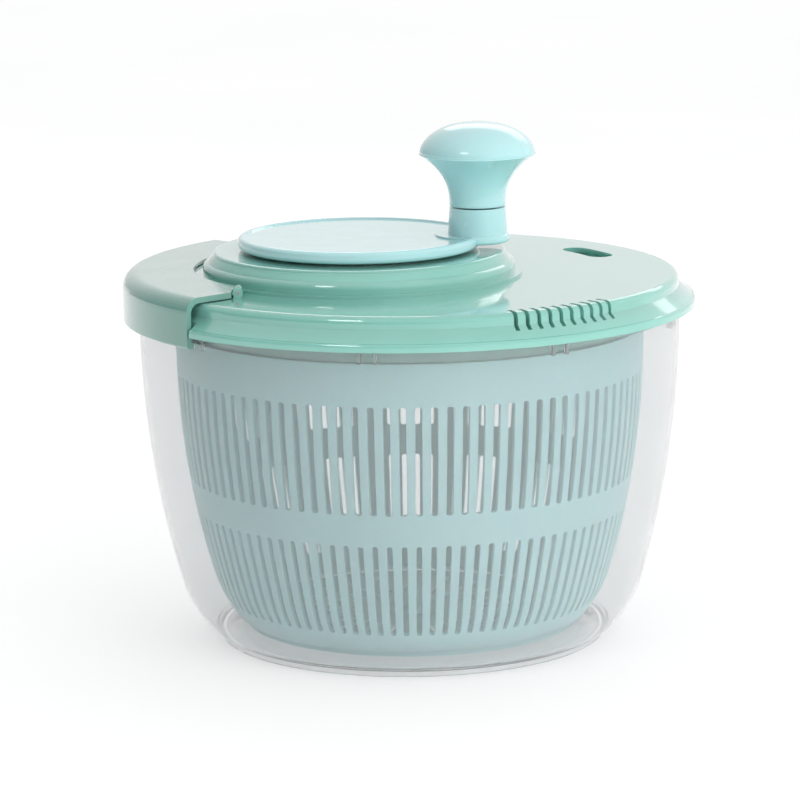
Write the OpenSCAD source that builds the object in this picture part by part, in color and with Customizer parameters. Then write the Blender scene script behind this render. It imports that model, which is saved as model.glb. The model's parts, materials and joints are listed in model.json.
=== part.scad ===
// Hand-cranked salad spinner: a clear bowl, a slotted basket that turns on a
// pin in the bowl, and a lid with an off-centre crank. The crank turns an
// internal ring gear around a pinion on the basket's axis, three to one.
// The origin is the middle of the foot ring's underside, +Z is up, and the
// crank's knob rests toward +X. All lengths are millimetres.

/* [Bowl] */
// Outer radius of the bowl's rim
bowl_rim_r = 123; // [120:1:150]
// Height of the bowl's rim above the table
bowl_h = 158; // [140:1:190]
// Wall thickness of the bowl
bowl_wall = 2.2; // [1.8:0.1:3]
// Outer radius of the bowl's flat underside
bowl_floor_r = 88; // [80:1:95]
// How much narrower the wall's curve gets toward the bottom
bowl_taper = 26; // [18:1:30]
// Height of the rounded corner above the foot ring
bowl_corner_h = 22; // [16:1:30]
// Height of the foot ring
foot_h = 3.2; // [2.5:0.1:5]
// Thickness of the bowl's floor
bowl_floor_t = 2.4; // [2:0.1:4]
// Number of rib pairs under the lid's brim
rib_pairs = 9; // [3:1:12]

/* [Basket] */
// Outer radius of the basket's rim
basket_rim_r = 106.5; // [100:0.5:109]
// Height of the basket from its underside to its rim
basket_h = 134.7; // [115:0.5:136]
// Wall thickness of the basket
basket_wall = 2.2; // [1.6:0.1:3]
// Outer radius of the basket's flat underside
basket_floor_r = 77; // [64:1:82]
// How much narrower the wall's curve gets toward the bottom
basket_taper = 26; // [18:1:45]
// Height of the basket's rounded corner
basket_corner_h = 20; // [14:1:36]
// Gap between the bowl's floor and the basket
basket_gap = 3.7; // [2.5:0.1:6]
// Number of slots in each row
slot_count = 96; // [48:4:108]
// Width of a slot in the upper row
slot_w = 3; // [2:0.1:3.4]
// Width of a slot in the lower row
low_slot_w = 2.4; // [2:0.1:3]
// Height of the lower row of slots
low_slot_h = 43; // [30:1:46]
// Height of the upper row of slots
high_slot_h = 48.8; // [30:0.2:52]
// Plain band between the two rows
mid_band_h = 14.4; // [8:0.2:20]
// Plain band above the upper row
top_band_h = 19.2; // [12:0.2:26]

/* [Lid] */
// How far the brim stands out past the bowl's rim
brim_overhang = 7; // [6:0.5:10]
// Height of the lid's flat top above the bowl's rim
plateau_rise = 9; // [8:0.5:14]
// Wall thickness of the lid
lid_wall = 2.2; // [1.8:0.1:3]
// How far the brim's lip hangs below the bowl's rim
lip_drop = 5; // [3:0.5:7]
// How far the locating skirt reaches below the bowl's rim
skirt_drop = 8.4; // [6:0.2:10]
// Number of drain slots in the lid's shoulder
drain_slots = 10; // [5:1:12]
// Width of a drain slot
drain_slot_w = 1.9; // [1.2:0.1:2.4]
// Angle between drain slots
drain_pitch = 2.6; // [2:0.1:4]
// Radial width of the water inlet
inlet_w = 12; // [8:1:18]
// Angle that the water inlet spans
inlet_span = 12; // [8:1:30]

/* [Turret and crank] */
// Radius of the turret's base
turret_r = 71; // [66:0.5:72]
// Height of the turret above the lid's flat top
turret_h = 11; // [9:0.5:16]
// Radius of the crank disc
disc_r = 55; // [52:0.5:58]
// Thickness of the crank disc
disc_t = 5.4; // [4:0.2:8]
// Distance from the crank's axis to the knob's axis
knob_reach = 54; // [48:0.5:56]
// Largest radius of the knob
knob_r = 26.4; // [20:0.2:28]
// Height of the knob above its collar
knob_h = 38; // [32:0.5:44]
// Radius of the knob's neck
knob_neck_r = 12.8; // [11:0.2:15]
// Height of the collar on the crank disc
collar_h = 12.2; // [8:0.2:18]
// Radius of the knob's spindle
spindle_r = 3.5; // [3:0.1:5]
// Radius of the crank's axle
axle_r = 4; // [3:0.1:5]

/* [Gears and drive] */
// Module of the gear teeth
gear_module = 1.25; // [1:0.05:1.3]
// Teeth on the pinion
pinion_teeth = 18; // [16:1:19]
// Teeth on the ring gear, three times the pinion's
ring_teeth = 54; // [48:3:57]
// Face width of the gears
gear_w = 7.6; // [5:0.2:9]
// Radius of the drive shaft
shaft_r = 5; // [4:0.1:6]
// Height of the drive plate's skirt
drive_skirt_h = 5.9; // [4:0.1:7]
// Thickness of the drive plate
drive_t = 2; // [1.6:0.1:3]
// Radius of the pin that the basket turns on
pivot_r = 3; // [2:0.1:4]

/* [Latch] */
// Half of the angle that the latch spans
latch_half = 42; // [30:1:44]
// Wall thickness of the latch
latch_wall = 2.6; // [1.6:0.1:3]
// Radius of the latch's upper edge
latch_round = 7; // [4:0.5:9]
// How far the latch reaches below the brim's lip
latch_drop = 5; // [3:0.5:7]
// Distance from the lid's axis to the latch's hinge
hinge_x = 75; // [74:0.5:77]
// Half of the distance between the outer ends of the hinge
hinge_half = 69; // [66:0.5:72]
// Radius of the latch's hinge pins
pin_r = 1; // [0.8:0.1:1.2]

/* [Hidden] */
$fn = 96;
eps = 0.01;
// Clearances: running fits, and gaps between parts that move past each other
run = 0.05;
gap = 0.4;
slack = 0.1;
// Exponent of the bowl's and the basket's side curve, and its steps
bulge = 2.2;
steps = 22;
// Heights
floor_z = foot_h + bowl_floor_t;
basket_z = floor_z + basket_gap;
basket_top = basket_z + basket_h;
plateau_z = bowl_h + plateau_rise;
lip_z = bowl_h - lip_drop;
turret_z = plateau_z + turret_h;
disc_z = turret_z + 1;
disc_top = disc_z + disc_t;
collar_top = disc_top + collar_h;
knob_z = collar_top + 0.5;
knob_top = knob_z + knob_h;
brim_r = bowl_rim_r + brim_overhang;
lid_r = bowl_rim_r - 0.5;
// Gears
pressure = 20;
pinion_pitch = gear_module * pinion_teeth / 2;
ring_pitch = gear_module * ring_teeth / 2;
crank_x = -(ring_pitch - pinion_pitch);
backlash = 0.12;
ring_r = ring_pitch + 7.5;
ring_screw_r = ring_r - 2.8;
// Gear train heights: the cover, then the gears above it
cover_t = 2.5;
cover_z = bowl_h - 3;
cover_top = cover_z + cover_t;
gear_z = cover_top + 2.6;
gear_top = gear_z + gear_w;
cover_r = 61;
cover_screw_r = 55;
// Drive plate
drive_gap = 1.5;
drive_z = basket_top + drive_gap;
drive_top = drive_z + drive_skirt_h;
lug_h = 8;
lug_count = 4;
// Latch
hinge_z = plateau_z + 2.5;
knuckle_r = 2.3;
latch_r = brim_r;
latch_top = plateau_z + gap + latch_wall;
latch_z = lip_z - latch_drop;
hook_r = lid_r + 3.6;
brim_cut_r = lid_r + 2.8;

// Side curve shared by the bowl and the basket: radius at height z
function side_r(z, rim_r, top, taper, z0, floor_r, corner_h) =
    let (wall_r = rim_r - taper * pow(max(0, 1 - z / top), bulge),
         t = min(1, (z - z0) / corner_h))
    floor_r + (wall_r - floor_r) * sqrt(max(0, 1 - pow(1 - t, 2)));
function bowl_r(z) =
    side_r(z, bowl_rim_r, bowl_h, bowl_taper, foot_h, bowl_floor_r, bowl_corner_h);
function basket_r(z) =
    side_r(z, basket_rim_r, basket_top, basket_taper, basket_z, basket_floor_r,
           basket_corner_h);
// Heights along a side curve, closer together near the bottom
function heights(z0, z1) = [for (i = [0:steps]) z0 + (z1 - z0) * pow(i / steps, 2)];

// Points of an arc around c, from angle a to angle b
function arc(c, r, a, b, n = 8) =
    [for (i = [0:n]) c + r * [cos(a + (b - a) * i / n), sin(a + (b - a) * i / n)]];

// Involute tooth: half of its angle at radius r
function inv(a) = tan(a) * 180 / PI - a;
function tooth_half(teeth, r, thin) =
    let (base = gear_module * teeth / 2 * cos(pressure))
    90 / teeth + inv(pressure) - inv(acos(min(1, base / r))) + thin;
function polar(r, a) = r * [cos(a), sin(a)];
// Outline of a gear whose teeth reach from r_low to r_high
function gear_points(teeth, r_low, r_high, thin, n = 4) =
    [for (k = [0:teeth - 1], side = [-1, 1], i = [0:n])
        let (f = side < 0 ? i / n : 1 - i / n, r = r_low + (r_high - r_low) * f)
        polar(r, k * 360 / teeth + side * tooth_half(teeth, r, thin))];

module disc(r, z0, z1) {
    translate([0, 0, z0]) cylinder(r = r, h = z1 - z0);
}
module tube(r_out, r_in, z0, z1) {
    difference() {
        disc(r_out, z0, z1);
        disc(r_in, z0 - 1, z1 + 1);
    }
}
// A vertical wedge of the space around the Z axis
module wedge(a0, a1, r0, r1, z0, z1) {
    rotate([0, 0, a0]) rotate_extrude(angle = a1 - a0)
        translate([r0, z0]) square([r1 - r0, z1 - z0]);
}
// Pan-head screw with a cross recess, pointing down from its head's underside
module screw(head_r, head_h, shank_r, shank_h) {
    difference() {
        disc(head_r, 0, head_h);
        for (a = [0, 90]) rotate([0, 0, a])
            translate([-head_r * 0.6, -head_r * 0.12, head_h * 0.5])
                cube([head_r * 1.2, head_r * 0.24, head_h]);
    }
    disc(shank_r, -shank_h, 0);
}

// Bowl
boss_r = 9;
boss_top = basket_z - 0.7;
module bowl() {
    color("aliceblue", 0.3) {
        difference() {
            union() {
                rotate_extrude() polygon(concat(
                    [[0, foot_h]],
                    [for (z = heights(foot_h, bowl_h)) [bowl_r(z), z]],
                    [for (z = heights(bowl_h, floor_z)) [bowl_r(z) - bowl_wall, z]],
                    [[0, floor_z]]));
                disc(boss_r, floor_z - eps, boss_top);
            }
            disc(pivot_r, foot_h + 1, boss_top + 1);
        }
        tube(bowl_floor_r, bowl_floor_r - bowl_wall, 0, foot_h + eps);
        bowl_ribs();
    }
}
// Pairs of short upright ribs on the wall, just under the brim
rib_w = 1.2;
rib_h = 6;
rib_stand = 1.3;
rib_start = -98.5;
module bowl_ribs() {
    for (k = [0:rib_pairs - 1], side = [-1, 1])
        rotate([0, 0, rib_start + k * 360 / rib_pairs + side * 1.6])
            translate([bowl_rim_r - 1.2, -rib_w / 2, lip_z - rib_h])
                cube([rib_stand + 1.2, rib_w, rib_h]);
}
// Pin in the bowl's floor that the basket turns on
pin_top = basket_z + 8;
module pivot_pin() {
    color("silver") {
        disc(pivot_r, foot_h + 1, pin_top - pivot_r);
        intersection() {
            translate([0, 0, pin_top - pivot_r]) sphere(r = pivot_r);
            disc(pivot_r, pin_top - pivot_r, pin_top);
        }
    }
}

// Basket
hub_r = 9;
cup_r = 6;
cup_h = 10;
low_slot_z = basket_top - top_band_h - high_slot_h - mid_band_h - low_slot_h;
high_slot_z = basket_top - top_band_h - high_slot_h;
floor_slots = 24;
floor_slot_in = 26;
floor_slot_out = basket_floor_r - 10;
module basket() {
    color("paleturquoise") difference() {
        union() {
            rotate_extrude() polygon(concat(
                [[0, basket_z]],
                [for (z = heights(basket_z, basket_top)) [basket_r(z), z]],
                [for (z = heights(basket_top, basket_z + basket_wall))
                    [basket_r(z) - basket_wall, z]],
                [[0, basket_z + basket_wall]]));
            disc(hub_r, basket_z, basket_z + cup_h + basket_wall);
            basket_keys();
        }
        disc(cup_r, basket_z - 1, basket_z + cup_h);
        slot_row(low_slot_z, low_slot_h, low_slot_w);
        slot_row(high_slot_z, high_slot_h, slot_w);
        for (k = [0:floor_slots - 1]) rotate([0, 0, k * 360 / floor_slots])
            translate([floor_slot_in, -slot_w / 2, basket_z - 1])
                cube([floor_slot_out - floor_slot_in, slot_w, basket_wall + 2]);
    }
}
module slot_row(z, h, w) {
    r_in = basket_rim_r - basket_taper - 6;
    for (k = [0:slot_count - 1]) rotate([0, 0, (k + 0.5) * 360 / slot_count])
        translate([r_in, -w / 2, z]) cube([basket_rim_r - r_in + 5, w, h]);
}
// Upright keys inside the rim, which the drive plate's lugs push against
key_w = 5;
key_l = 6;
key_in = basket_rim_r - basket_wall - key_l;
module basket_keys() {
    for (k = [0:lug_count - 1])
        rotate([0, 0, (k + 0.5) * 360 / lug_count])
            translate([key_in, -key_w / 2, basket_top - lug_h - 2])
                cube([key_l + basket_wall / 2, key_w, lug_h]);
}
module pivot_cup() {
    color("white") difference() {
        disc(cup_r, basket_z, basket_z + cup_h);
        disc(pivot_r + run, basket_z - 1, pin_top + run);
    }
}

// Lid
fillet_r = 3;
turret_top_r = turret_r - 6;
turret_hole_r = ring_r + 4;
skirt_r = bowl_rim_r - bowl_wall - 0.8;
module lid_ring() {
    flare_z = bowl_h + 3.6;
    rotate_extrude() polygon(concat(
        [[0, plateau_z]],
        arc([lid_r - fillet_r, plateau_z - fillet_r], fillet_r, 90, 0),
        [[lid_r, flare_z]],
        [[brim_r - 1.4, bowl_h - 1.4]],
        arc([brim_r - 2, bowl_h - 3], 2, 45, 0, 4),
        [[brim_r, lip_z], [brim_r - lid_wall, lip_z], [brim_r - lid_wall, bowl_h - 3]],
        [[bowl_rim_r + 1.6, bowl_h], [skirt_r, bowl_h]],
        [[skirt_r, bowl_h - skirt_drop], [skirt_r - lid_wall, bowl_h - skirt_drop]],
        [[skirt_r - lid_wall, bowl_h + 0.6], [lid_r - lid_wall, bowl_h + 3]],
        arc([lid_r - fillet_r, plateau_z - fillet_r], fillet_r - lid_wall, 0, 90, 4),
        [[0, plateau_z - lid_wall]]));
}
// The turret's outline, drawn in by a wall thickness for its hollow
module turret_profile(inset) {
    r = turret_r - inset;
    top_r = turret_top_r - inset;
    top = turret_z - inset;
    polygon(concat(
        [[0, plateau_z - lid_wall - (inset > 0 ? 1 : 0)]],
        [[r, plateau_z - lid_wall - (inset > 0 ? 1 : 0)], [r, plateau_z + 3.4]],
        arc([r - 3.2, plateau_z + 3.4], 3.2, 0, 70, 6),
        [[top_r + 1.4, top - 1.2]],
        arc([top_r, top - 1.4], 1.4, 10, 90, 4),
        [[0, top]]));
}
module at_crank() {
    translate([crank_x, 0, 0]) children();
}
// The ends are a hair narrower and lower than the arc, so that no faces are tangent
end_step = 0.08;
inlet_angle = 31;
drain_angle = -56.5;
module inlet(z0, z1) {
    mid_r = brim_r - 32;
    a0 = inlet_angle - inlet_span / 2;
    a1 = inlet_angle + inlet_span / 2;
    wedge(a0, a1, mid_r - inlet_w / 2, mid_r + inlet_w / 2, z0, z1);
    for (a = [a0, a1]) rotate([0, 0, a])
        translate([mid_r, 0, 0]) disc(inlet_w / 2 - end_step, z0, z1 - end_step);
}
module lid() {
    color("aquamarine", 0.6) {
        difference() {
            union() {
                lid_ring();
                at_crank() rotate_extrude() turret_profile(0);
                at_crank() tube(turret_r + 3.5, turret_r - 1, plateau_z - eps, plateau_z + 1.2);
            }
            at_crank() rotate_extrude() turret_profile(lid_wall);
            at_crank() disc(turret_hole_r, plateau_z, turret_z + 1);
            inlet(plateau_z - lid_wall - 1, plateau_z + 3);
            for (k = [0:drain_slots - 1])
                rotate([0, 0, drain_angle + (k - (drain_slots - 1) / 2) * drain_pitch])
                    translate([lid_r - 8, -drain_slot_w / 2, bowl_h + 1.6])
                        cube([12, drain_slot_w, plateau_rise]);
            brim_cut();
        }
        at_crank() cover_posts();
        lid_knuckles();
    }
}
// The brim is cut back under the latch, so that its hook can swing past
module brim_cut() {
    wedge(180 - latch_half - 0.6, 180 + latch_half + 0.6, brim_cut_r, brim_r + 5,
          lip_z - 1, plateau_z);
}
// Posts under the turret that the gear cover screws onto
post_r = 4;
cover_screw_shank = 1.4;
module cover_screw_places() {
    for (a = [45:90:315]) rotate([0, 0, a]) translate([cover_screw_r, 0, 0]) children();
}
module cover_posts() {
    cover_screw_places() difference() {
        disc(post_r, cover_top, turret_z - lid_wall + eps);
        disc(cover_screw_shank, cover_top - 1, cover_top + 9);
    }
}
// Hinge ears on the lid's top, one outside each end of the latch
ear_l = 6;
ear_w = 2 * knuckle_r - 0.8;
module lid_knuckles() {
    for (side = [-1, 1]) difference() {
        union() {
            translate([-hinge_x, side * (hinge_half - ear_l / 2), hinge_z]) rotate([90, 0, 0])
                cylinder(r = knuckle_r, h = ear_l, center = true);
            translate([-hinge_x - ear_w / 2, side * (hinge_half - ear_l / 2) - ear_l / 2,
                       plateau_z - 1])
                cube([ear_w, ear_l, hinge_z - plateau_z + 1]);
        }
        hinge_bore(pin_r);
    }
}
module hinge_bore(r) {
    translate([-hinge_x, 0, hinge_z]) rotate([90, 0, 0])
        cylinder(r = r, h = 2 * hinge_half + 10, center = true);
}

// Gear cover: a plate under the turret that carries both bushes
cover_screw_head = 2.8;
bush_r = 7.5;
crank_bush_r = 5.6;
crank_post_r = 8;
crank_post_top = gear_top - 1;
module gear_cover() {
    color("mediumaquamarine") difference() {
        union() {
            at_crank() disc(cover_r, cover_z, cover_top);
            at_crank() tube(cover_r, cover_r - 2, cover_z, cover_top + 4);
            at_crank() disc(crank_post_r, cover_z, crank_post_top);
            disc(bush_r + 2.5, cover_z, gear_z - 1);
        }
        at_crank() disc(crank_bush_r, cover_z - 1, crank_post_top + 1);
        disc(bush_r, cover_z - 1, gear_z);
        at_crank() cover_screw_places()
            disc(cover_screw_shank + 0.2, cover_z - 1, cover_top + 1);
    }
}
module gear_cover_screws() {
    color("silver") at_crank() cover_screw_places()
        translate([0, 0, cover_z]) mirror([0, 0, 1])
            screw(cover_screw_head, screw_head_h, cover_screw_shank, cover_t + 7);
}
module crank_bush() {
    color("white") at_crank() tube(crank_bush_r, axle_r + run, cover_z, crank_post_top);
}
module shaft_bush() {
    color("white") tube(bush_r, shaft_r + run, cover_z, gear_z - 1);
}

// Crank: disc with a lobe and a collar that carries the knob
hub_post_r = 8.5;
collar_r = knob_neck_r + 0.9;
lobe_r = collar_r + 0.8;
lobe_z = disc_z + 1.6;
spindle_z = lobe_z + 1.2;
axle_top = disc_top - 2.2;
rim_w = 4;
module crank_disc() {
    color("powderblue") at_crank() difference() {
        union() {
            rounded_disc(disc_r, disc_z, 2);
            translate([knob_reach, 0, 0]) rounded_disc(lobe_r, lobe_z, 1.4);
            disc(hub_post_r, gear_top + 1, disc_z + eps);
            translate([knob_reach, 0, disc_top - 1])
                cylinder(r1 = collar_r, r2 = knob_neck_r, h = collar_h + 1);
        }
        disc_recess();
        disc(axle_r, gear_top, axle_top);
        translate([knob_reach, 0, 0]) disc(spindle_r, spindle_z, collar_top + 1);
        ring_screw_places() disc(ring_screw_shank, disc_z - 1, disc_z + 3);
    }
}
// A disc up to the crank disc's top, with rounded edges
module rounded_disc(r, z0, round) {
    rotate_extrude() polygon(concat(
        [[0, z0]],
        arc([r - round, z0 + round], round, -90, 0, 6),
        arc([r - round, disc_top - round], round, 0, 90, 6),
        [[0, disc_top]]));
}
// Shallow dish in the disc's top, which leaves the rim and the lobe standing
module disc_recess() {
    difference() {
        translate([0, 0, disc_top - 0.7])
            cylinder(r1 = disc_r - rim_w, r2 = disc_r - rim_w + 1, h = 1);
        translate([knob_reach, 0, disc_top - 2]) cylinder(r = lobe_r + 5, h = 4);
    }
}
axle_screw_r = 1.5;
washer_t = 1;
screw_head_h = 1.6;
module crank_axle() {
    color("silver") at_crank() difference() {
        disc(axle_r, cover_z - slack, axle_top);
        disc(axle_screw_r, cover_z - 1, cover_z + 8);
    }
}
module crank_washer() {
    color("silver") at_crank()
        tube(crank_bush_r + 0.8, axle_screw_r, cover_z - washer_t, cover_z - slack);
}
module crank_screw() {
    color("silver") at_crank() translate([0, 0, cover_z - washer_t]) mirror([0, 0, 1])
        screw(3.4, screw_head_h, axle_screw_r, 8);
}
// Screws that hold the ring gear under the crank disc
ring_screw_shank = 1.1;
ring_screw_head = 2.1;
ring_screw_z = gear_z + 1.8;
module ring_screw_places() {
    for (a = [60:120:300]) rotate([0, 0, a]) translate([ring_screw_r, 0, 0]) children();
}
module ring_gear() {
    ring_tip = ring_pitch - 0.8 * gear_module;
    ring_root = ring_pitch + 1.25 * gear_module;
    color("white") at_crank() difference() {
        disc(ring_r, gear_z, disc_z);
        translate([0, 0, gear_z - 1]) linear_extrude(height = gear_w + 1 + eps)
            polygon(gear_points(ring_teeth, ring_tip, ring_root, backlash / 2));
        disc(ring_root - 1, gear_top, disc_z - 2.4);
        disc(hub_post_r + gap, gear_top, disc_z + 1);
        ring_screw_places() {
            disc(ring_screw_shank, gear_z - 1, disc_z + 1);
            disc(ring_screw_head + 0.1, gear_z - 1, ring_screw_z);
        }
    }
}
module ring_gear_screws() {
    color("silver") at_crank() ring_screw_places() translate([0, 0, ring_screw_z])
        mirror([0, 0, 1]) screw(ring_screw_head, 1.4, ring_screw_shank, disc_z - gear_z);
}
module pinion() {
    color("white") difference() {
        translate([0, 0, gear_z + 0.2]) linear_extrude(height = gear_w - 0.4)
            polygon(gear_points(pinion_teeth, pinion_pitch - 1.25 * gear_module,
                                pinion_pitch + gear_module, -backlash));
        disc(shaft_r, gear_z - 1, gear_top + 1);
    }
}
module pinion_washer() {
    color("silver") tube(bush_r + 1, shaft_r + run, gear_z - 0.9, gear_z + 0.1);
}
shaft_z = drive_top - 4;
drive_screw_r = 1.6;
module drive_shaft() {
    color("silver") difference() {
        disc(shaft_r, shaft_z, gear_top - 0.2);
        disc(drive_screw_r, shaft_z - 1, drive_top + 5);
    }
}

// Drive plate: turns with the shaft and takes the basket round by its lugs
plate_hub_r = 10;
drive_rib_w = 1.6;
// A short collar that stands just inside the basket's rim
spigot_r = basket_rim_r - basket_wall - gap;
spigot_h = 1.4;
module drive_plate() {
    color("aquamarine", 0.6) {
        difference() {
            union() {
                disc(basket_rim_r, drive_z, drive_top);
                disc(plate_hub_r, drive_z, drive_top + 1.2);
            }
            tube(basket_rim_r - basket_wall, plate_hub_r, drive_z - 1, drive_top - drive_t);
            disc(shaft_r, shaft_z, drive_top + 2);
            disc(drive_screw_r + 0.2, drive_z - 1, drive_top);
        }
        drive_ribs();
        drive_lugs();
        tube(spigot_r, spigot_r - drive_t, basket_top - spigot_h, drive_z + 1);
    }
}
module drive_ribs() {
    for (k = [0:7]) rotate([0, 0, k * 45 + 22.5])
        translate([plate_hub_r - 1, -drive_rib_w / 2, drive_z])
            cube([basket_rim_r - basket_wall / 2 - plate_hub_r, drive_rib_w,
                  drive_skirt_h - 1]);
}
module drive_lugs() {
    lug_w = 3;
    for (k = [0:lug_count - 1], side = [-1, 1])
        rotate([0, 0, (k + 0.5) * 360 / lug_count])
            translate([key_in, side * (key_w / 2 + gap + lug_w / 2) - lug_w / 2,
                       basket_top - lug_h])
                cube([key_l - 1.2, lug_w, drive_top - 1 - basket_top + lug_h]);
}
module drive_screw() {
    color("silver") translate([0, 0, drive_z - washer_t]) mirror([0, 0, 1])
        screw(3.6, screw_head_h, drive_screw_r, drive_skirt_h + 3);
}
module drive_washer() {
    color("silver") tube(plate_hub_r - 3.5, drive_screw_r, drive_z - washer_t, drive_z);
}

// Knob: a mushroom in two pieces that turns freely on its spindle
cap_h = 14;
cap_z = knob_top - cap_h;
well_r = 8;
well_z = cap_z - 4;
knob_screw_z = well_z + 0.2;
knob_screw_r = 1.5;
module knob_outline() {
    dome_h = cap_h + 0.5;
    polygon(concat(
        [[0, knob_z]],
        [for (i = [0:14]) let (f = i / 14)
            [knob_neck_r + (knob_r - knob_neck_r) * pow(f, 2.6),
             knob_z + (knob_h - dome_h) * f]],
        [for (i = [1:14]) let (a = 90 * i / 14)
            [knob_r * pow(cos(a), 0.86), knob_top - dome_h * (1 - pow(sin(a), 1.12))]]));
}
module knob() {
    color("powderblue") at_crank() translate([knob_reach, 0, 0]) difference() {
        intersection() {
            rotate_extrude() knob_outline();
            disc(knob_r + 5, knob_z - 1, cap_z);
        }
        disc(spindle_r + run, knob_z - 1, cap_z + 1);
        disc(well_r, well_z, cap_z + 1);
    }
}
module knob_cap() {
    color("powderblue") at_crank() translate([knob_reach, 0, 0]) difference() {
        intersection() {
            rotate_extrude() knob_outline();
            disc(knob_r + 5, cap_z, knob_top + 1);
        }
        disc(well_r, cap_z - 1, cap_z + 4);
    }
}
module knob_spindle() {
    color("silver") at_crank() translate([knob_reach, 0, 0]) difference() {
        disc(spindle_r, spindle_z, knob_screw_z);
        disc(knob_screw_r, knob_screw_z - 12, cap_z);
    }
}
module knob_screw() {
    color("silver") at_crank() translate([knob_reach, 0, knob_screw_z])
        screw(spindle_r + 1.9, 2.2, knob_screw_r, 11);
}

// Latch: a shell over the lid's edge, hinged at its two inner tips
tip_y = hinge_half - ear_l - 0.3;
tip_l = 5;
tip_r = knuckle_r - 0.45;
module latch_profile() {
    r = latch_round;
    w = latch_wall;
    polygon(concat(
        [[hinge_x - 25, latch_top]],
        arc([latch_r - r, latch_top - r], r, 90, 0),
        arc([latch_r - 1, latch_z + 1], 1, 0, -90, 3),
        [[hook_r, latch_z], [hook_r, latch_z + w], [latch_r - w, latch_z + w]],
        arc([latch_r - r, latch_top - r], r - w, 0, 90),
        [[hinge_x - 25, latch_top - w]]));
}
module latch() {
    color("powderblue") difference() {
        union() {
            difference() {
                rotate([0, 0, 180 - latch_half]) rotate_extrude(angle = 2 * latch_half)
                    latch_profile();
                at_crank() disc(turret_r + 4.2, plateau_z - 5, latch_top + 5);
                translate([-hinge_x, -200, plateau_z - 5]) cube([200, 400, 20]);
                for (side = [-1, 1])
                    translate([-hinge_x, side * (tip_y + ear_l), hinge_z])
                        cube([2 * (knuckle_r + gap), 2 * ear_l, 20], center = true);
            }
            for (side = [-1, 1])
                translate([-hinge_x, side * (tip_y - tip_l / 2), hinge_z]) rotate([90, 0, 0])
                    cylinder(r = tip_r, h = tip_l, center = true);
        }
        hinge_bore(pin_r + run);
    }
}
module latch_pins() {
    color("silver") for (side = [-1, 1])
        translate([-hinge_x, side * (hinge_half - (ear_l + tip_l) / 2), hinge_z])
            rotate([90, 0, 0]) cylinder(r = pin_r, h = ear_l + tip_l, center = true);
}

bowl();
pivot_pin();
basket();
pivot_cup();
lid();
gear_cover();
gear_cover_screws();
crank_disc();
crank_axle();
crank_bush();
crank_washer();
crank_screw();
ring_gear();
ring_gear_screws();
pinion();
pinion_washer();
drive_shaft();
shaft_bush();
drive_plate();
drive_screw();
drive_washer();
knob();
knob_cap();
knob_spindle();
knob_screw();
latch();
latch_pins();
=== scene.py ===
"""Looks of the hand-cranked salad spinner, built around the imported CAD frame. Metres throughout."""
import json
import math

import bmesh
import bpy
from mathutils import Matrix, Vector


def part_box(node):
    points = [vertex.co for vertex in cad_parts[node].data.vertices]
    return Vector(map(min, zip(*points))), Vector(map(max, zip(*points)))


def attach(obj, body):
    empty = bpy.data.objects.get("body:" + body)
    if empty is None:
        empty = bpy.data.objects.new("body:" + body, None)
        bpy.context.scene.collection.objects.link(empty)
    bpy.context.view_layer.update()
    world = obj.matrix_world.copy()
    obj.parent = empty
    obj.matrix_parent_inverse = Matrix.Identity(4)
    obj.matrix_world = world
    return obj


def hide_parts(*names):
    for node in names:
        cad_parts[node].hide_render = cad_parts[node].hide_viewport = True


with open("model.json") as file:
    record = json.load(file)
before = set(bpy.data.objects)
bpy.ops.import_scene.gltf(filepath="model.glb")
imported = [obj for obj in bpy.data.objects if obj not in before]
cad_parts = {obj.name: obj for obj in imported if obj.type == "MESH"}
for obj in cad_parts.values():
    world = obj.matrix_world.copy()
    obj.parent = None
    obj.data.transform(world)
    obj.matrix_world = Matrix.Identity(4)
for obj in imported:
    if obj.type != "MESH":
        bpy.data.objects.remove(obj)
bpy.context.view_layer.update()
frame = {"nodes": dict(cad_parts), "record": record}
nodes = frame["nodes"]

MM = 0.001


# ---------------------------------------------------------------- sizes read from the frame
def span(node):
    """Lowest and highest corner of a CAD node at rest."""
    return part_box(node)


bowl_top = span("bowl")[1].z
basket_lo, basket_hi = span("basket")
knob_lo, knob_hi = span("knob")
cap_lo, cap_hi = span("knob_cap")

# Bowl
BOWL_WALL = 2.2 * MM
BOWL_TOP = bowl_top
BOWL_RIM_R = 123 * MM
BOWL_FLOOR_R = 88 * MM
BOWL_TAPER = 26 * MM
BOWL_CORNER_H = 22 * MM
FOOT_H = 3.2 * MM
BOWL_FLOOR_T = 2.4 * MM
BOSS_R = 9 * MM
BOSS_GAP = 0.7 * MM
LIP_DROP = 5 * MM
RIB_PAIRS = 9
RIB_START = -98.5
RIB_SPREAD = 1.6
RIB_W = 1.2 * MM
RIB_H = 6 * MM
RIB_STAND = 1.3 * MM
# Basket
BASKET_RIM_R = basket_hi.x
BASKET_BOTTOM = basket_lo.z
BASKET_TOP = basket_hi.z
BASKET_WALL = 2.2 * MM
BASKET_FLOOR_R = 77 * MM
BASKET_TAPER = 26 * MM
BASKET_CORNER_H = 20 * MM
SLOTS = 96
SLOT_W = 3 * MM
LOW_SLOT_W = 2.4 * MM
TOP_BAND = 19.2 * MM
HIGH_SLOT = 48.8 * MM
MID_BAND = 14.4 * MM
LOW_SLOT = 43 * MM
FLOOR_SLOTS = 24
FLOOR_SLOT_IN = 26 * MM
FLOOR_SLOT_OUT = BASKET_FLOOR_R - 10 * MM
HUB_R = 9 * MM
HUB_H = 12.2 * MM
CUP_R = 6 * MM
CUP_H = 10 * MM
KEYS = 4
KEY_L = 6 * MM
KEY_W = 5 * MM
KEY_H = 8 * MM
KEY_DEPTH = 2 * MM
# Exponent of the bowl's and the basket's side curve
BULGE = 2.2
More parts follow.
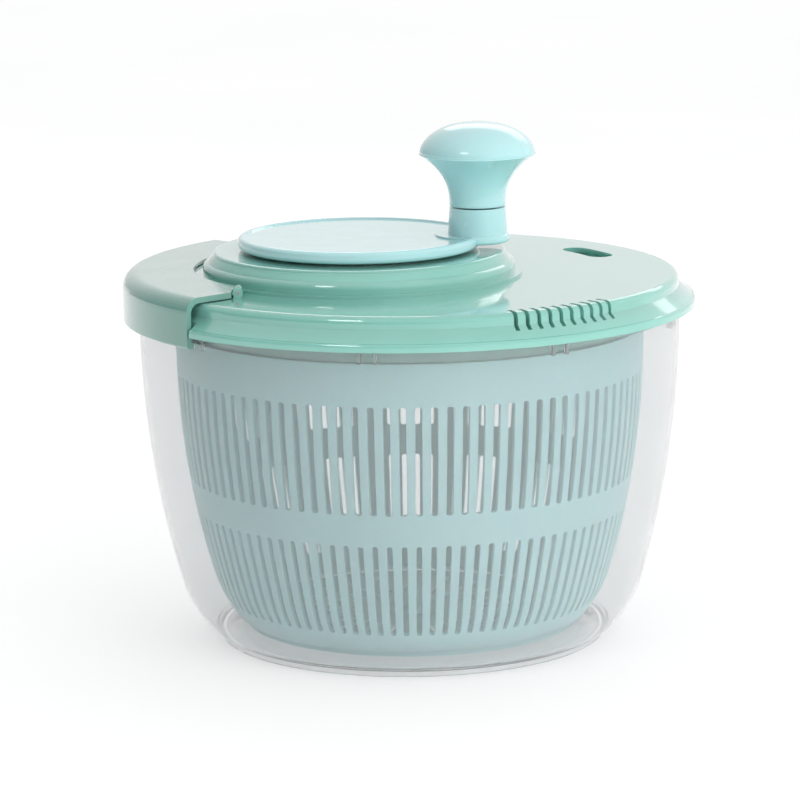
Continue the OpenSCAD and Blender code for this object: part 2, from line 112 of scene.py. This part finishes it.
# Knob
NECK_R = 12.8 * MM
NECK_CURVE = 2.6
DOME_H = 14.5 * MM
KNOB_BORE_R = 3.55 * MM
KNOB_X = (knob_lo.x + knob_hi.x) / 2
KNOB_R = (knob_hi.x - knob_lo.x) / 2


# ---------------------------------------------------------------- materials
class Nodes:
    """A material's node tree, with short calls to add and link nodes."""

    def __init__(self, name):
        self.material = bpy.data.materials.new(name)
        self.material.use_nodes = True
        self.tree = self.material.node_tree
        self.tree.nodes.clear()
        self.output = self.add("ShaderNodeOutputMaterial")
        self.shader = self.add("ShaderNodeBsdfPrincipled")
        self.link(self.shader, "BSDF", self.output, "Surface")
        self.coords = self.add("ShaderNodeTexCoord")

    def add(self, kind, **values):
        made = self.tree.nodes.new(kind)
        for key, value in values.items():
            setattr(made, key, value)
        return made

    def link(self, source, out, target, into):
        self.tree.links.new(source.outputs[out], target.inputs[into])

    def noise(self, scale, detail=3.0, stretch=None):
        made = self.add("ShaderNodeTexNoise")
        made.inputs["Scale"].default_value = scale
        made.inputs["Detail"].default_value = detail
        if stretch:
            mapping = self.add("ShaderNodeMapping")
            mapping.inputs["Scale"].default_value = stretch
            self.link(self.coords, "Object", mapping, "Vector")
            self.link(mapping, "Vector", made, "Vector")
        else:
            self.link(self.coords, "Object", made, "Vector")
        return made

    def ramp(self, source, low, high, start=0.3, end=0.7):
        """Maps a noise's factor to a range of numbers."""
        made = self.add("ShaderNodeMapRange")
        made.inputs["From Min"].default_value = start
        made.inputs["From Max"].default_value = end
        made.inputs["To Min"].default_value = low
        made.inputs["To Max"].default_value = high
        self.link(source, "Fac", made, "Value")
        return made

    def colours(self, source, first, second, start=0.35, end=0.65):
        made = self.add("ShaderNodeValToRGB")
        stops = made.color_ramp.elements
        stops[0].position, stops[1].position = start, end
        stops[0].color, stops[1].color = (*first, 1), (*second, 1)
        self.link(source, "Fac", made, "Fac")
        return made

    def bump(self, source, strength, distance, out="Fac"):
        made = self.add("ShaderNodeBump")
        made.inputs["Strength"].default_value = strength
        made.inputs["Distance"].default_value = distance
        self.link(source, out, made, "Height")
        return made

    def set(self, **values):
        for key, value in values.items():
            self.shader.inputs[key.replace("_", " ")].default_value = value


def moulded(name, first, second, rough=(0.25, 0.34), texture=0.12, fine=900, **values):
    """Moulded plastic: faint flow clouds in the colour, fine skin texture and uneven gloss."""
    n = Nodes(name)
    clouds = n.noise(14, 4)
    n.link(n.colours(clouds, first, second), "Color", n.shader, "Base Color")
    n.link(n.ramp(n.noise(60, 5), *rough), "Result", n.shader, "Roughness")
    n.link(n.bump(n.noise(fine, 2), texture, 0.0001), "Normal", n.shader, "Normal")
    n.set(**values)
    return n.material


def brushed(name, colour, rough=(0.18, 0.36)):
    """Turned steel with fine rings around Z."""
    n = Nodes(name)
    grain = n.noise(120, 6, (1, 1, 30))
    dark = tuple(c * 0.82 for c in colour)
    n.link(n.colours(grain, dark, colour), "Color", n.shader, "Base Color")
    n.link(n.ramp(grain, *rough), "Result", n.shader, "Roughness")
    n.link(n.bump(grain, 0.15, 0.0001), "Normal", n.shader, "Normal")
    n.set(Metallic=1.0)
    return n.material


AQUA = ((0.54, 0.90, 0.92), (0.57, 0.93, 0.95))
SKY = ((0.42, 0.71, 0.73), (0.45, 0.74, 0.76))
PALE = ((0.15, 0.34, 0.285), (0.17, 0.37, 0.315))
MINT = ((0.33, 0.76, 0.66), (0.36, 0.79, 0.70))

blue_plastic = moulded("blue_plastic", *SKY, rough=(0.2, 0.28), texture=0.05,
                       Coat_Weight=1.0, Coat_Roughness=0.08, Subsurface_Weight=0.15,
                       Subsurface_Scale=0.004)
latch_plastic = moulded("latch_plastic", *PALE, rough=(0.2, 0.28), texture=0.05,
                        Coat_Weight=1.0, Coat_Roughness=0.08, Subsurface_Weight=0.15,
                        Subsurface_Scale=0.004)
basket_plastic = moulded("basket_plastic", *AQUA, rough=(0.32, 0.44), texture=0.1,
                         Subsurface_Weight=0.15, Subsurface_Scale=0.003)
green_plastic = moulded("green_plastic", *MINT, rough=(0.08, 0.16), texture=0.03,
                        Transmission_Weight=0.42, IOR=1.5, Coat_Weight=1.0,
                        Coat_IOR=1.6, Coat_Roughness=0.05)
clear_plastic = moulded("clear_plastic", (0.895, 0.90, 0.905), (0.915, 0.92, 0.925),
                        rough=(0.015, 0.05), texture=0.02, fine=300,
                        Transmission_Weight=0.88, IOR=1.4)
white_plastic = moulded("white_plastic", (0.80, 0.81, 0.78), (0.84, 0.85, 0.82),
                        rough=(0.4, 0.5))
steel = brushed("steel", (0.68, 0.69, 0.70))

FINISH = {"clear_bowl": clear_plastic, "basket_plastic": basket_plastic,
          "latch_plastic": latch_plastic,
          "green_plastic": green_plastic, "blue_plastic": blue_plastic,
          "white_plastic": white_plastic, "steel": steel}


def finish_node(node, slot):
    """Gives a CAD node its finished material in place of its plain one."""
    obj = nodes[node]
    obj.data.materials.clear()
    obj.data.materials.append(FINISH[slot])


for part in frame["record"]["subparts"]:
    finish_node(part["node"], part["material_slot"])


# ---------------------------------------------------------------- mesh tools
def lathe_rings(bm, outline, turns=128, centre=(0, 0)):
    """Revolves an outline of (r, z) points into bm; a point at r 0 closes to a pole."""
    rings = []
    for r, z in outline:
        if r < 1e-7:
            rings.append([bm.verts.new((centre[0], centre[1], z))])
            continue
        rings.append([bm.verts.new((centre[0] + r * math.cos(math.tau * k / turns),
                                    centre[1] + r * math.sin(math.tau * k / turns), z))
                      for k in range(turns)])
    for low, high in zip(rings, rings[1:]):
        for k in range(turns):
            n = (k + 1) % turns
            if len(low) == 1 and len(high) == 1:
                continue
            if len(low) == 1:
                bm.faces.new((low[0], high[k], high[n]))
            elif len(high) == 1:
                bm.faces.new((low[k], high[0], low[n]))
            else:
                bm.faces.new((low[k], high[k], high[n], low[n]))


def box_into(bm, low, high, turn=0.0):
    """A box from low to high, then turned about Z."""
    made = bmesh.ops.create_cube(bm, size=1)["verts"]
    low, high = Vector(low), Vector(high)
    bmesh.ops.scale(bm, vec=high - low, verts=made)
    bmesh.ops.translate(bm, vec=(low + high) / 2, verts=made)
    bmesh.ops.rotate(bm, cent=(0, 0, 0), matrix=Matrix.Rotation(turn, 3, "Z"), verts=made)
    return made


def piece(name, bm, material, body, replaced, sharp=35):
    """Makes a mesh object, smooth up to an angle, riding on a CAD body in place of its nodes."""
    bmesh.ops.recalc_face_normals(bm, faces=bm.faces)
    mesh = bpy.data.meshes.new(name)
    for f in bm.faces:
        f.smooth = True
    for e in bm.edges:
        e.smooth = not (e.is_manifold and e.calc_face_angle(0) > math.radians(sharp))
    bm.to_mesh(mesh)
    bm.free()
    obj = bpy.data.objects.new(name, mesh)
    bpy.context.collection.objects.link(obj)
    mesh.materials.append(material)
    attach(obj, body)
    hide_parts(*replaced)
    return obj


def side_r(z, rim_r, top, taper, z0, floor_r, corner_h):
    """Radius of the bowl's or the basket's outside at height z."""
    wall_r = rim_r - taper * max(0.0, 1 - z / top) ** BULGE
    t = min(1.0, (z - z0) / corner_h)
    return floor_r + (wall_r - floor_r) * math.sqrt(max(0.0, 1 - (1 - t) ** 2))


def bowl_r(z):
    return side_r(z, BOWL_RIM_R, BOWL_TOP, BOWL_TAPER, FOOT_H, BOWL_FLOOR_R, BOWL_CORNER_H)


def basket_r(z):
    return side_r(z, BASKET_RIM_R, BASKET_TOP, BASKET_TAPER, BASKET_BOTTOM, BASKET_FLOOR_R,
                  BASKET_CORNER_H)


def rising(z0, z1, count, power=2.0):
    """Heights from z0 to z1, closer together near z0."""
    return [z0 + (z1 - z0) * (i / count) ** power for i in range(count + 1)]


def arc(centre, r, start, end, count=8):
    """Points of an arc in the (r, z) plane, angles in degrees."""
    angles = [math.radians(start + (end - start) * i / count) for i in range(count + 1)]
    return [(centre[0] + r * math.cos(a), centre[1] + r * math.sin(a)) for a in angles]


# ---------------------------------------------------------------- bowl
def build_bowl():
    floor_z = FOOT_H + BOWL_FLOOR_T
    boss_top = BASKET_BOTTOM - BOSS_GAP
    foot_in = BOWL_FLOOR_R - BOWL_WALL
    round_r = 0.5 * MM
    outline = [(0, FOOT_H), (foot_in - 1 * MM, FOOT_H), (foot_in, FOOT_H - 0.4 * MM)]
    outline += [(foot_in, round_r)] + arc((foot_in + round_r, round_r), round_r, 180, 270, 4)
    outline += arc((BOWL_FLOOR_R - round_r, round_r), round_r, 270, 360, 4)
    outline += [(BOWL_FLOOR_R, FOOT_H * 0.8)]
    outline += [(bowl_r(z), z) for z in rising(FOOT_H + 0.05 * MM, BOWL_TOP - 1 * MM, 44)]
    mid = BOWL_RIM_R - BOWL_WALL / 2
    outline += arc((mid, BOWL_TOP - BOWL_WALL / 2), BOWL_WALL / 2, 0, 180, 8)
    outline += [(bowl_r(z) - BOWL_WALL, z)
                for z in reversed(rising(floor_z, BOWL_TOP - 1.4 * MM, 44))]
    outline += [(BOSS_R + 1.5 * MM, floor_z), (BOSS_R, floor_z + 1.2 * MM),
                (BOSS_R, boss_top - round_r), (BOSS_R - round_r, boss_top), (0, boss_top)]
    bm = bmesh.new()
    lathe_rings(bm, outline, 144)
    rib_top = BOWL_TOP - LIP_DROP
    for k in range(RIB_PAIRS):
        for side in (-1, 1):
            box_into(bm, (BOWL_RIM_R - 1.2 * MM, -RIB_W / 2, rib_top - RIB_H),
                     (BOWL_RIM_R + RIB_STAND, RIB_W / 2, rib_top),
                     math.radians(RIB_START + k * 360 / RIB_PAIRS + side * RIB_SPREAD))
    piece("clear_bowl", bm, clear_plastic, "bowl", ["bowl"])


# ---------------------------------------------------------------- basket
def slotted_wall(bm):
    """The basket's side as one skin of quads, open where the slots are.

    Each row holds a height, the width between its slot corners, and whether slots are open above it.
    """
    high_z = BASKET_TOP - TOP_BAND - HIGH_SLOT
    low_z = high_z - MID_BAND - LOW_SLOT
    rows = []
    round_h = 0.9 * MM
    edge = 1.5 * MM

    def band(z0, z1, count, width, is_slot):
        for i in range(count):
            rows.append((z0 + (z1 - z0) * i / count, width, is_slot))

    def slots(z0, z1, count, width):
        rows.append((z0, 0.45 * width, True))
        rows.append((z0 + round_h * 0.35, 0.82 * width, True))
        band(z0 + round_h, z1 - round_h, count, width, True)
        rows.append((z1 - round_h, width, True))
        rows.append((z1 - round_h * 0.35, 0.82 * width, True))
        rows.append((z1, 0.45 * width, False))

    for z in rising(BASKET_BOTTOM + 0.02 * MM, low_z, 9)[:-1]:
        rows.append((z, LOW_SLOT_W, False))
    slots(low_z, low_z + LOW_SLOT, 12, LOW_SLOT_W)
    band(low_z + LOW_SLOT + edge, high_z, 3, SLOT_W, False)
    slots(high_z, high_z + HIGH_SLOT, 8, SLOT_W)
    band(high_z + HIGH_SLOT + edge, BASKET_TOP, 5, SLOT_W, False)
    rows.append((BASKET_TOP, SLOT_W, False))

    rings = []
    for z, width, _ in rows:
        r = basket_r(z)
        half = math.asin(width / 2 / r)
        ring = []
        for k in range(SLOTS):
            middle = (k + 0.5) * math.tau / SLOTS
            for a in (middle - half, middle + half, middle + math.pi / SLOTS):
                ring.append(bm.verts.new((r * math.cos(a), r * math.sin(a), z)))
        rings.append(ring)
    count = 3 * SLOTS
    for (low, high), (_, _, open_here) in zip(zip(rings, rings[1:]), rows):
        for k in range(count):
            if open_here and k % 3 == 0:
                continue
            n = (k + 1) % count
            bm.faces.new((low[k], low[n], high[n], high[k]))


def slotted_floor(bm):
    """The basket's floor, with radial drain slots."""
    slot_l = FLOOR_SLOT_OUT - FLOOR_SLOT_IN
    margin = 3 * MM
    radii = [HUB_R, FLOOR_SLOT_IN - margin, FLOOR_SLOT_IN]
    radii += [FLOOR_SLOT_IN + slot_l * i / 5 for i in range(1, 6)]
    radii += [FLOOR_SLOT_OUT + margin, BASKET_FLOOR_R - 0.2 * MM]
    rings = []
    for r in radii:
        half = math.asin(SLOT_W / 2 / max(r, FLOOR_SLOT_IN))
        ring = []
        for k in range(FLOOR_SLOTS):
            middle = k * math.tau / FLOOR_SLOTS
            for a in (middle - half, middle + half, middle + math.pi / FLOOR_SLOTS):
                ring.append(bm.verts.new((r * math.cos(a), r * math.sin(a), BASKET_BOTTOM)))
        rings.append(ring)
    count = 3 * FLOOR_SLOTS
    tiny = 1e-6
    for r, inner, outer in zip(radii, rings, rings[1:]):
        open_here = FLOOR_SLOT_IN - tiny <= r < FLOOR_SLOT_OUT - tiny
        for k in range(count):
            if open_here and k % 3 == 0:
                continue
            n = (k + 1) % count
            bm.faces.new((inner[k], outer[k], outer[n], inner[n]))


def thicken(obj):
    """Gives a basket skin its wall, inward, and rounds its edges."""
    wall = obj.modifiers.new("wall", "SOLIDIFY")
    wall.thickness, wall.offset, wall.use_even_offset = BASKET_WALL, -1, True
    soft = obj.modifiers.new("edges", "BEVEL")
    soft.width, soft.segments, soft.angle_limit = 0.3 * MM, 2, math.radians(40)
    soft.harden_normals = True


def basket_piece(name, bm):
    return piece(name, bm, basket_plastic, "basket", ["basket"])


def build_basket():
    bm = bmesh.new()
    slotted_wall(bm)
    thicken(basket_piece("basket_wall", bm))
    bm = bmesh.new()
    slotted_floor(bm)
    thicken(basket_piece("basket_floor", bm))
    bm = bmesh.new()
    floor_top = BASKET_BOTTOM + BASKET_WALL
    hub_top = BASKET_BOTTOM + HUB_H
    cup_top = BASKET_BOTTOM + CUP_H
    round_r = 1 * MM
    foot = 2 * MM
    outline = [(CUP_R, BASKET_BOTTOM), (HUB_R + foot, BASKET_BOTTOM), (HUB_R + foot, floor_top)]
    outline += [(HUB_R, floor_top + foot), (HUB_R, hub_top - round_r)]
    outline += arc((HUB_R - round_r, hub_top - round_r), round_r, 0, 90, 5)
    outline += [(0, hub_top)]
    lathe_rings(bm, outline, 48)
    lathe_rings(bm, [(CUP_R, BASKET_BOTTOM), (CUP_R, cup_top), (0, cup_top)], 48)
    key_in = BASKET_RIM_R - BASKET_WALL - KEY_L
    key_top = BASKET_TOP - KEY_DEPTH
    for k in range(KEYS):
        box_into(bm, (key_in, -KEY_W / 2, key_top - KEY_H),
                 (BASKET_RIM_R - BASKET_WALL / 2, KEY_W / 2, key_top),
                 math.tau * (k + 0.5) / KEYS)
    basket_piece("basket_hub_and_keys", bm)


# ---------------------------------------------------------------- knob
def knob_curve(f):
    """Radius and height along the knob's concave neck, f from 0 to 1."""
    return (NECK_R + (KNOB_R - NECK_R) * f ** NECK_CURVE,
            knob_lo.z + (cap_hi.z - knob_lo.z - DOME_H) * f)


def build_knob():
    dome_z = cap_lo.z - 0.5 * MM
    outline = [(KNOB_BORE_R, cap_lo.z), (KNOB_BORE_R, knob_lo.z), (NECK_R - 0.8 * MM, knob_lo.z)]
    outline += [(NECK_R - 0.2 * MM, knob_lo.z + 0.15 * MM)]
    outline += [knob_curve(0.02 + 0.98 * i / 30) for i in range(31)]
    outline += [(KNOB_R, dome_z + 0.3 * MM), (KNOB_R - 0.15 * MM, cap_lo.z)]
    outline += [(KNOB_BORE_R, cap_lo.z)]
    bm = bmesh.new()
    lathe_rings(bm, outline, 96, (KNOB_X, 0))
    bmesh.ops.remove_doubles(bm, verts=bm.verts, dist=1e-6)
    piece("knob_body", bm, blue_plastic, "knob", ["knob"])
    outline = [(0, cap_lo.z), (KNOB_R - 0.3 * MM, cap_lo.z)]
    steps = 28
    for i in range(1, steps + 1):
        a = math.radians(90 * i / steps)
        z = dome_z + DOME_H * math.sin(a) ** 1.12
        if z > cap_lo.z + 0.1 * MM:
            outline.append((KNOB_R * math.cos(a) ** 0.86 if i < steps else 0.0, z))
    bm = bmesh.new()
    lathe_rings(bm, outline, 96, (KNOB_X, 0))
    piece("knob_dome", bm, blue_plastic, "knob", ["knob_cap"])


build_bowl()
build_basket()
build_knob()


# ---------------------------------------------------------------- studio
LIGHT_TARGET = Vector((0, 0, 0.12))
FLOOR_HALF = 6
FLOOR_GLOW = 0.54


def area_light(name, place, size, power, mirrored=True):
    """A soft rectangular light that faces the object; mirrored says if gloss shows it."""
    data = bpy.data.lights.new(name, "AREA")
    data.shape, data.size, data.size_y = "RECTANGLE", size[0], size[1]
    data.energy = power
    obj = bpy.data.objects.new(name, data)
    obj.visible_glossy = mirrored
    bpy.context.collection.objects.link(obj)
    obj.location = place
    obj.rotation_euler = (LIGHT_TARGET - Vector(place)).to_track_quat("-Z", "Y").to_euler()


def studio():
    """A pale floor and three soft lights."""
    bm = bmesh.new()
    bmesh.ops.create_grid(bm, x_segments=1, y_segments=1, size=FLOOR_HALF)
    mesh = bpy.data.meshes.new("floor")
    bm.to_mesh(mesh)
    bm.free()
    floor = bpy.data.objects.new("floor", mesh)
    bpy.context.collection.objects.link(floor)
    n = Nodes("floor_paper")
    n.link(n.colours(n.noise(3), (0.49, 0.495, 0.50), (0.51, 0.512, 0.515)), "Color",
           n.shader, "Base Color")
    n.link(n.bump(n.noise(400, 3), 0.03, 0.0002), "Normal", n.shader, "Normal")
    n.set(Roughness=0.9, Emission_Color=(1, 1, 1, 1), Emission_Strength=FLOOR_GLOW)
    mesh.materials.append(n.material)
    area_light("key", (-0.55, -0.95, 1.15), (0.3, 0.22), 1.2)
    area_light("fill", (0.95, -1.3, 0.4), (1.2, 1.2), 14, mirrored=False)
    area_light("back", (0.3, 1.2, 0.9), (1.2, 0.5), 2)


SKY_SIDE = Vector((0.62, 0.34, 0.7)).normalized()
SKY_DIM = 0.1
SKY_BRIGHT = 0.95


def sky():
    """Soft surroundings, bright above, to the right and behind, dim at the left front."""
    world = bpy.data.worlds.new("studio")
    bpy.context.scene.world = world
    world.use_nodes = True
    tree = world.node_tree
    coords = tree.nodes.new("ShaderNodeTexCoord")
    along = tree.nodes.new("ShaderNodeVectorMath")
    along.operation = "DOT_PRODUCT"
    along.inputs[1].default_value = SKY_SIDE
    fade = tree.nodes.new("ShaderNodeMapRange")
    fade.interpolation_type = "SMOOTHSTEP"
    fade.inputs["From Min"].default_value = -0.75
    fade.inputs["From Max"].default_value = 0.6
    fade.inputs["To Min"].default_value = SKY_DIM
    fade.inputs["To Max"].default_value = SKY_BRIGHT
    tree.links.new(coords.outputs["Generated"], along.inputs[0])
    tree.links.new(along.outputs["Value"], fade.inputs["Value"])
    tree.links.new(fade.outputs["Result"], tree.nodes["Background"].inputs["Strength"])
    tree.nodes["Background"].inputs["Color"].default_value = (1, 1, 1, 1)


CAMERA_DISTANCE = 1.8
CAMERA_RISE = 11.3
CAMERA_ROLL = -0.69
CAMERA_LENS = 176.85
CAMERA_BASE_Z = 0.1
CAMERA_AIM = Vector((-0.0047, 0, 0.1075))


def camera():
    """A long lens a little above the lid, looking down at its front."""
    data = bpy.data.cameras.new("camera")
    data.sensor_width, data.lens = 36, CAMERA_LENS
    obj = bpy.data.objects.new("camera", data)
    bpy.context.collection.objects.link(obj)
    rise = math.radians(CAMERA_RISE)
    obj.location = (0, -CAMERA_DISTANCE * math.cos(rise),
                    CAMERA_BASE_Z + CAMERA_DISTANCE * math.sin(rise))
    aim = CAMERA_AIM - obj.location
    turn = aim.to_track_quat("-Z", "Y").to_matrix().to_4x4()
    roll = Matrix.Rotation(math.radians(CAMERA_ROLL), 4, "Z")
    obj.rotation_euler = (turn @ roll).to_euler()
    bpy.context.scene.camera = obj


studio()
sky()
camera()
bpy.context.scene.view_settings.view_transform = "Standard"
